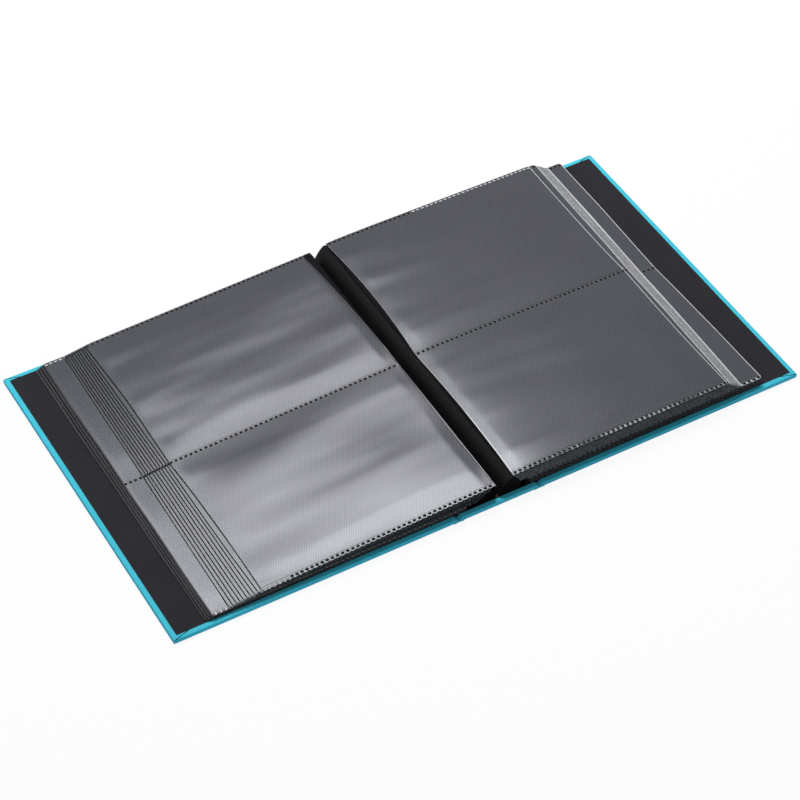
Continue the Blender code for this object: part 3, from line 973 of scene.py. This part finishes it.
def make_cover_wrap(label, side):
    """Wrap of one cover: outer sheet, rounded edges, flaps turned in with a fold at each corner."""
    block = slab((COVER_START, -HALF_HEIGHT, 0), (COVER_REACH, HALF_HEIGHT, BOARD_TOP))
    round_edges(block, [edge for edge in block.edges if runs_across(edge)
                        or all(vert.co.x > COVER_START + 1 for vert in edge.verts)])
    flap_x = COVER_REACH - TURN_IN
    flap_y = HALF_HEIGHT - TURN_IN
    cut_across(block, (flap_x, 0, 0), (1, 0, 0))
    for end in (-1, 1):
        cut_across(block, (0, end * flap_y, 0), (0, 1, 0))
        corner, normal = mitre_plane(end)
        for shift in (-CREASE_HALF, CREASE_HALF):
            cut_across(block, corner + normal * shift, normal)
    unwanted = []
    creases = []
    for face in block.faces:
        middle = face.calc_center_median()
        if abs(middle.x - COVER_START) < NEAR:
            unwanted.append(face)
        elif face.normal.z > FLAT_FACE and middle.x < flap_x and abs(middle.y) < flap_y:
            unwanted.append(face)
        elif face.normal.z > UPPER_FACE and on_crease(middle):
            # faces on a corner's fold line take the painted crease shade
            face.material_index = 1
            creases.append(face)
    bmesh.ops.inset_region(block, faces=creases, thickness=CREASE_INSET, depth=-CREASE_DEPTH,
                           use_even_offset=True)
    bmesh.ops.delete(block, geom=unwanted, context="FACES")
    bmesh.ops.remove_doubles(block, verts=block.verts, dist=MERGE_DISTANCE)
    thicken_wrap(block)
    bmesh.ops.scale(block, vec=(side, 1, 1), verts=block.verts)
    finishes = [wrap_paper, crease_painted_shade]
    piece = finish_piece(f"{label}_wrap_sheet", block, finishes, CASE_SHARP)
    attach(piece, f"{label}_cover")
    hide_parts(f"{label}_wrap")


def make_spine_wrap():
    """Wrap of the spine: outer sheet with its head and tail turned in."""
    block = slab((-SPINE_EDGE, -HALF_HEIGHT, 0), (SPINE_EDGE, HALF_HEIGHT, BOARD_TOP))
    round_edges(block, [edge for edge in block.edges if runs_across(edge)])
    flap_y = HALF_HEIGHT - TURN_IN
    for end in (-1, 1):
        cut_across(block, (0, end * flap_y, 0), (0, 1, 0))
    unwanted = [face for face in block.faces
                if abs(face.normal.x) > FLAT_FACE
                or (face.normal.z > FLAT_FACE and abs(face.calc_center_median().y) < flap_y)]
    bmesh.ops.delete(block, geom=unwanted, context="FACES")
    thicken_wrap(block)
    piece = finish_piece("spine_wrap_sheet", block, [wrap_paper], CASE_SHARP)
    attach(piece, "spine")
    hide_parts("spine_wrap")


def groove_share(x):
    """1 in the middle of a hinge groove and 0 at the boards beside it."""
    return max(0, 1 - abs(abs(x) - HINGE_LINE) / GROOVE_HALF)


def end_share(y):
    """0 along a hinge strip and 1 at its head and tail, on a quarter circle."""
    past = clamp((abs(y) - HALF_HEIGHT + END_ROUNDING) / END_ROUNDING)
    return 1 - math.sqrt(1 - past ** 2)


def make_hinge(label, side):
    """Wrap and black lining that bend in the groove between the spine and a cover."""
    columns = [side * x for x in steps(SPINE_EDGE, COVER_START, HINGE_COLUMN)]
    flap_start = HALF_HEIGHT - TURN_IN
    half = steps(0, flap_start, HINGE_ROW) + [flap_start + FLAP_STEP]
    half += steps(flap_start + FLAP_ROWS_START, HALF_HEIGHT - END_ROUNDING, FLAP_ROW)
    half += [HALF_HEIGHT - inset for inset in END_ROWS]

    def top(x, y):
        """Height of the upper side: one wrap, and the turned-in flap at head and tail."""
        flap = mix(BOARD_TOP, FLAP_IN_GROOVE, groove_share(x))
        sheet = WRAP + GROOVE_RISE * groove_share(x)
        height = mix(sheet, flap, ease((abs(y) - flap_start) / FLAP_STEP))
        return height - (height - WRAP) * END_DROP * end_share(y)

    strip = net_sheet(columns, mirrored(half), lambda x, y: (x, y, GROOVE_RISE * groove_share(x)), 0)
    settle_top(strip, top)
    piece = finish_piece(f"{label}_hinge_wrap", strip, [wrap_paper], CASE_SHARP)
    bend(piece)

    paper_half = HALF_HEIGHT - PAPER_MARGIN
    lining = net_sheet(columns, steps(-paper_half, paper_half, LINING_ROW),
                       lambda x, y: (x, y, PAPER_TOP - PAPER - LINING_DIP * groove_share(x)), PAPER)
    piece = finish_piece(f"{label}_hinge_lining", lining, [black_paper], CASE_SHARP)
    bend(piece)


def settle_top(strip, top):
    """Lift the upper of two equal layers to its own height."""
    strip.verts.ensure_lookup_table()
    upper = strip.verts[len(strip.verts) // 2:]
    for vert in upper:
        vert.co.z = max(top(vert.co.x, vert.co.y), vert.co.z + WRAP)


def bend(piece):
    """Bake the placement of a hinge piece into its shape."""
    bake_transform(piece)


def paint_case_nodes():
    """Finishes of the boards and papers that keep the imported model's shape."""
    for label in ("front", "back"):
        frame["nodes"][f"{label}_board"].material_slots[0].material = board_grey
        frame["nodes"][f"{label}_endpaper"].material_slots[0].material = black_paper
    frame["nodes"]["spine_board"].material_slots[0].material = board_grey
    frame["nodes"]["spine_lining"].material_slots[0].material = black_paper


# Stage

def background_ray(tree):
    """1 for the rays that show the white background: camera, glossy and transmission."""
    path = add_node(tree, "ShaderNodeLightPath")
    shown = calculate(tree, "MAXIMUM", path.outputs["Is Camera Ray"], path.outputs["Is Glossy Ray"])
    return calculate(tree, "MAXIMUM", shown, path.outputs["Is Transmission Ray"])


def make_floor():
    """White floor that keeps a faint shadow."""
    shape = bmesh.new()
    bmesh.ops.create_grid(shape, x_segments=1, y_segments=1, size=FLOOR_SIZE)
    mesh = bpy.data.meshes.new("studio_floor")
    shape.to_mesh(mesh)
    shape.free()
    floor = bpy.data.objects.new("studio_floor", mesh)
    floor.location.z = -FLOOR_DROP
    bpy.context.scene.collection.objects.link(floor)
    material = bpy.data.materials.new("studio_floor_white")
    material.use_nodes = True
    tree = material.node_tree
    tree.nodes.clear()
    out = add_node(tree, "ShaderNodeOutputMaterial")
    matte = add_node(tree, "ShaderNodeBsdfDiffuse")
    tint = between(tree, background_ray(tree), BOUNCE_TINT, FLOOR_TINT, 0, 1)
    tree.links.new(tint, matte.inputs["Color"])
    white = add_node(tree, "ShaderNodeEmission", {"Color": (1, 1, 1, 1), "Strength": 1.0})
    mixer = add_node(tree, "ShaderNodeMixShader")
    tree.links.new(calculate(tree, "MULTIPLY", background_ray(tree), FLOOR_WHITE), mixer.inputs["Fac"])
    tree.links.new(matte.outputs["BSDF"], mixer.inputs[1])
    tree.links.new(white.outputs["Emission"], mixer.inputs[2])
    tree.links.new(mixer.outputs["Shader"], out.inputs["Surface"])
    mesh.materials.append(material)


def make_world():
    """White surroundings, dimmer and a little cooler as a light than as a background."""
    world = bpy.data.worlds.new("studio_surroundings")
    world.use_nodes = True
    tree = world.node_tree
    background = tree.nodes["Background"]
    colour = between(tree, background_ray(tree), WORLD_TINT, (1, 1, 1), 0, 1)
    tree.links.new(colour, background.inputs["Color"])
    strength = spread(tree, background_ray(tree), WORLD_LIGHT, 1.0)
    tree.links.new(strength, background.inputs["Strength"])
    bpy.context.scene.world = world


def make_softbox(name, place, aim, size, power):
    """A rectangular lamp that lights the album and stays out of the picture."""
    light = bpy.data.lights.new(name, "AREA")
    light.shape = "RECTANGLE"
    light.size, light.size_y = size
    light.energy = power
    lamp = bpy.data.objects.new(name, light)
    lamp.location = place
    direction = Vector(aim) - Vector(place)
    lamp.rotation_euler = direction.to_track_quat("-Z", "Y").to_euler()
    lamp.visible_camera = False
    bpy.context.scene.collection.objects.link(lamp)


def make_camera():
    """The camera at the photograph's viewpoint."""
    turn, rise, roll = (math.radians(angle) for angle in CAMERA_ANGLES)
    data = bpy.data.cameras.new("photo_camera")
    data.sensor_width = SENSOR_WIDTH
    data.lens = FOCAL_PIXELS / PHOTO_PIXELS * data.sensor_width
    data.clip_start, data.clip_end = CLIP_METRES
    camera = bpy.data.objects.new("photo_camera", data)
    facing = Matrix.Rotation(turn, 4, "Z") @ Matrix.Rotation(math.pi / 2 - rise, 4, "X")
    facing = facing @ Matrix.Rotation(roll, 4, "Z")
    back = facing.to_3x3() @ Vector((0, 0, 1))
    place = Vector(CAMERA_AIM) * MM + back * (CAMERA_DISTANCE * MM)
    camera.matrix_world = Matrix.Translation(place) @ facing
    bpy.context.scene.collection.objects.link(camera)
    bpy.context.scene.camera = camera


make_camera()
make_world()
make_floor()
for softbox in SOFTBOXES:
    make_softbox(*softbox)
make_cover_wrap("front", -1)
make_cover_wrap("back", 1)
make_spine_wrap()
make_hinge("front", -1)
make_hinge("back", 1)
paint_case_nodes()
make_folds(make_leaves())
bpy.context.scene.view_settings.view_transform = "Standard"
